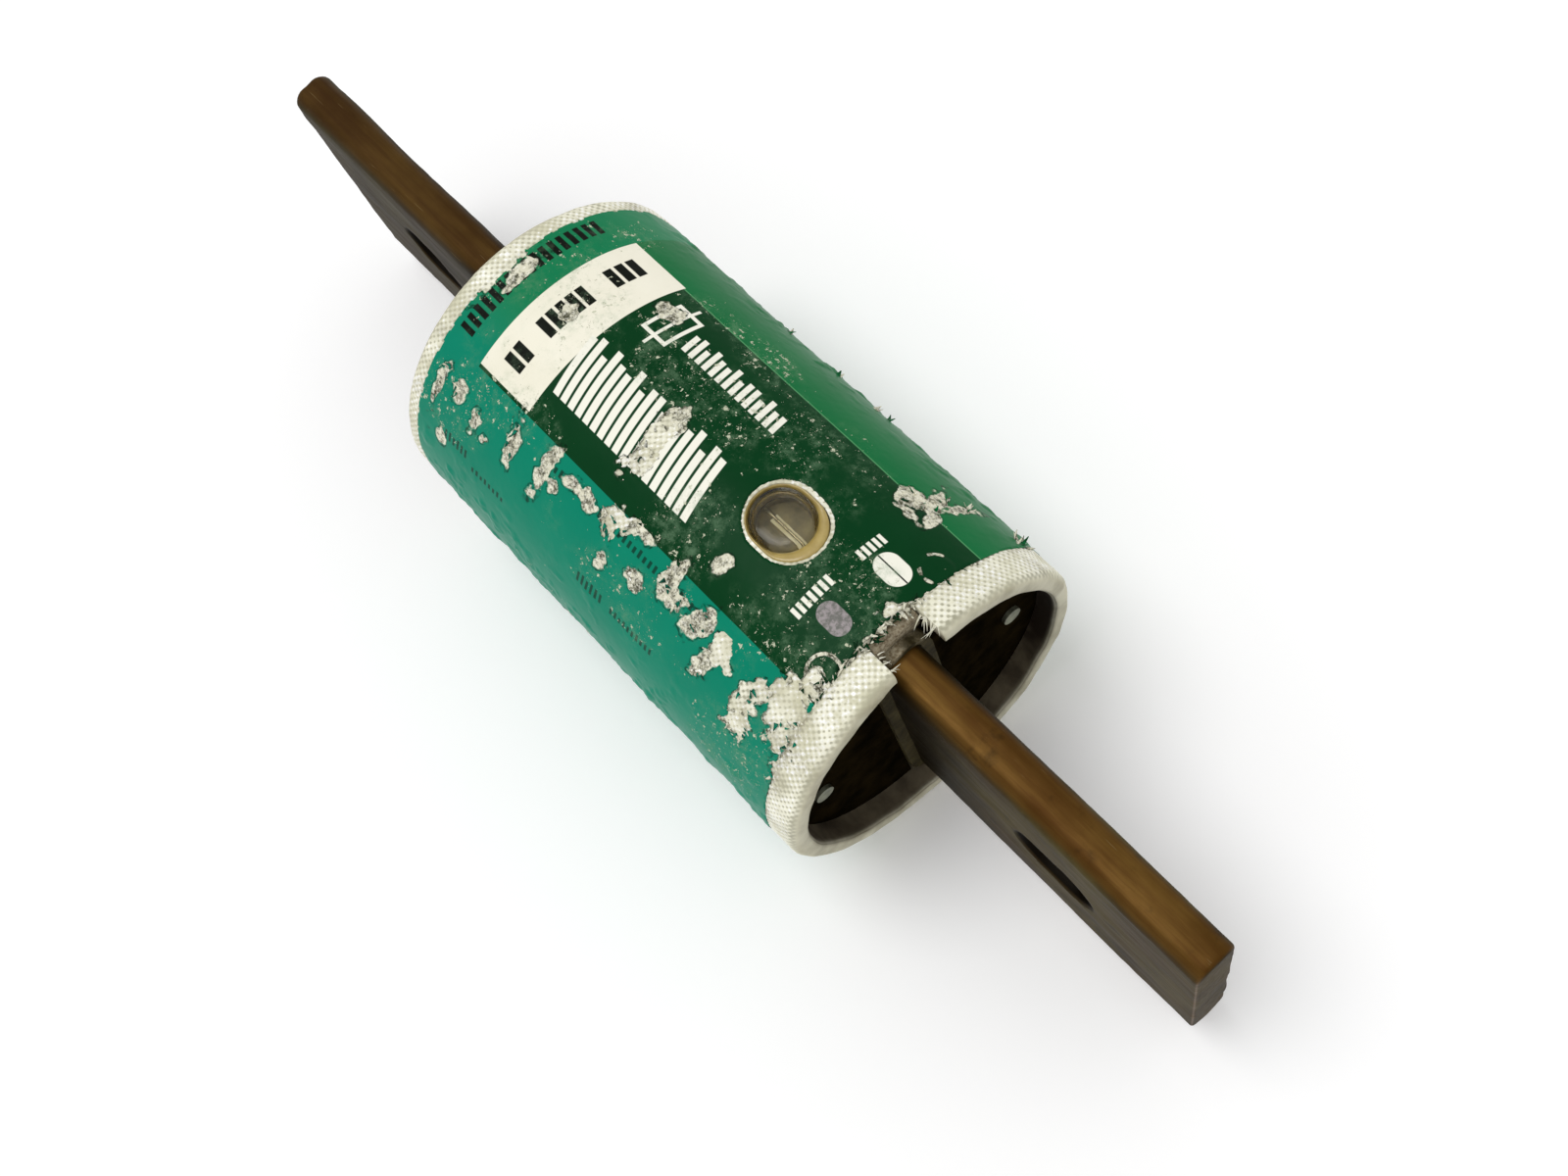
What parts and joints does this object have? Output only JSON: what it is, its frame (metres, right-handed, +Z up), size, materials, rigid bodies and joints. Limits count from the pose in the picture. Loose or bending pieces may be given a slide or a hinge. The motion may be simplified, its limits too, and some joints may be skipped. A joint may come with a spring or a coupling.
{
  "type": "cartridge fuse",
  "caption": "Knife-blade cartridge fuse: round laminate tube with a paper label and indicator window, and a slotted flat copper blade standing out of each end.",
  "frame": {"origin": "on the tube's axis, midway between the tips of the two blades", "axes": "+X along the fuse towards the end with the window; +Z up along the blades' width, on the side of the window and the notch; +Y through the blades' thickness"},
  "size_m": [0.181, 0.0504, 0.0505],
  "materials": {
    "blade_copper": "satin",
    "block_brass": "satin",
    "plug_brass": "satin",
    "pin_steel": "satin",
    "rivet_alloy": "satin",
    "washer_fibre": "matte",
    "tube_laminate": "satin",
    "label_paper": "satin",
    "lens_clear": "gloss",
    "gasket_amber": "satin",
    "cup_plastic": "satin",
    "strip_card": "matte",
    "wire_bright": "polished",
    "lead_copper": "satin",
    "link_copper": "satin",
    "plate_copper": "satin",
    "absorber_copper": "satin",
    "plunger_copper": "satin",
    "guide_brass": "satin",
    "solder_alloy": "satin",
    "spring_steel": "satin",
    "chamber_card": "matte",
    "sleeve_card": "matte",
    "seat_fibre": "matte",
    "quartz_sand": "matte"
  },
  "bodies": {
    "fuse_body": {"near_blade": "blade_copper", "near_tube_pins": "pin_steel", "near_washer_rivets": "rivet_alloy", "near_fill_plug": "plug_brass", "near_end_block": "block_brass", "near_end_washer": "washer_fibre", "near_links": "link_copper", "near_contact_plate": "plate_copper", "near_chamber_washer": "chamber_card", "near_sand": "quartz_sand", "far_blade": "blade_copper", "far_tube_pins": "pin_steel", "far_washer_rivets": "rivet_alloy", "far_fill_plug": "plug_brass", "far_end_block": "block_brass", "far_end_washer": "washer_fibre", "far_links": "link_copper", "far_contact_plate": "plate_copper", "far_chamber_washer": "chamber_card", "far_sand": "quartz_sand", "fuse_tube": "tube_laminate", "wrap_label": "label_paper", "window_lens": "lens_clear", "window_gasket": "gasket_amber", "indicator_cup": "cup_plastic", "indicator_strip": "strip_card", "indicator_wire": "wire_bright", "indicator_leads": "lead_copper", "overload_sleeve": "sleeve_card", "heat_absorber": "absorber_copper", "solder_joint": "solder_alloy", "spring_seat": "seat_fibre", "trigger_spring": "spring_steel", "trigger_guide": "guide_brass"},
    "trigger": {"trigger_plunger": "plunger_copper"}
  },
  "joints": [
    {"name": "overload_trigger", "type": "slide", "parent": "fuse_body", "child": "trigger", "axis": [1, 0, 0], "range_m": [0, 0.005], "deforming": ["trigger_spring"]}
  ]
}
